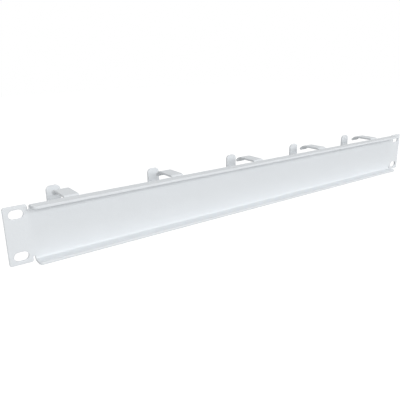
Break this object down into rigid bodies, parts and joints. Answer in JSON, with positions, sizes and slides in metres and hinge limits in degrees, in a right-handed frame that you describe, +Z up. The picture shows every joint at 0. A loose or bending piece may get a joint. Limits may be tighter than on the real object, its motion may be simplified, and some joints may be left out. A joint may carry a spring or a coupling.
{
  "type": "horizontal cable manager",
  "caption": "Slim folded steel panel with slotted ears and a row of open strip rings that hold patch cables across the front of a rack.",
  "frame": {"origin": "centre of the four rack slots, on the face of the panel that the rack rails touch", "axes": "+X along the panel, to the left of a person who faces the rack; +Y out of the rack, from the panel towards the rings; +Z up"},
  "size_m": [0.4826, 0.057, 0.044],
  "materials": {
    "powder_coat": "light grey satin powder coat with a fine texture"
  },
  "bodies": {
    "root": {"panel": "powder_coat", "ring_1": "powder_coat", "ring_2": "powder_coat", "ring_3": "powder_coat", "ring_4": "powder_coat", "ring_5": "powder_coat"}
  },
  "joints": []
}
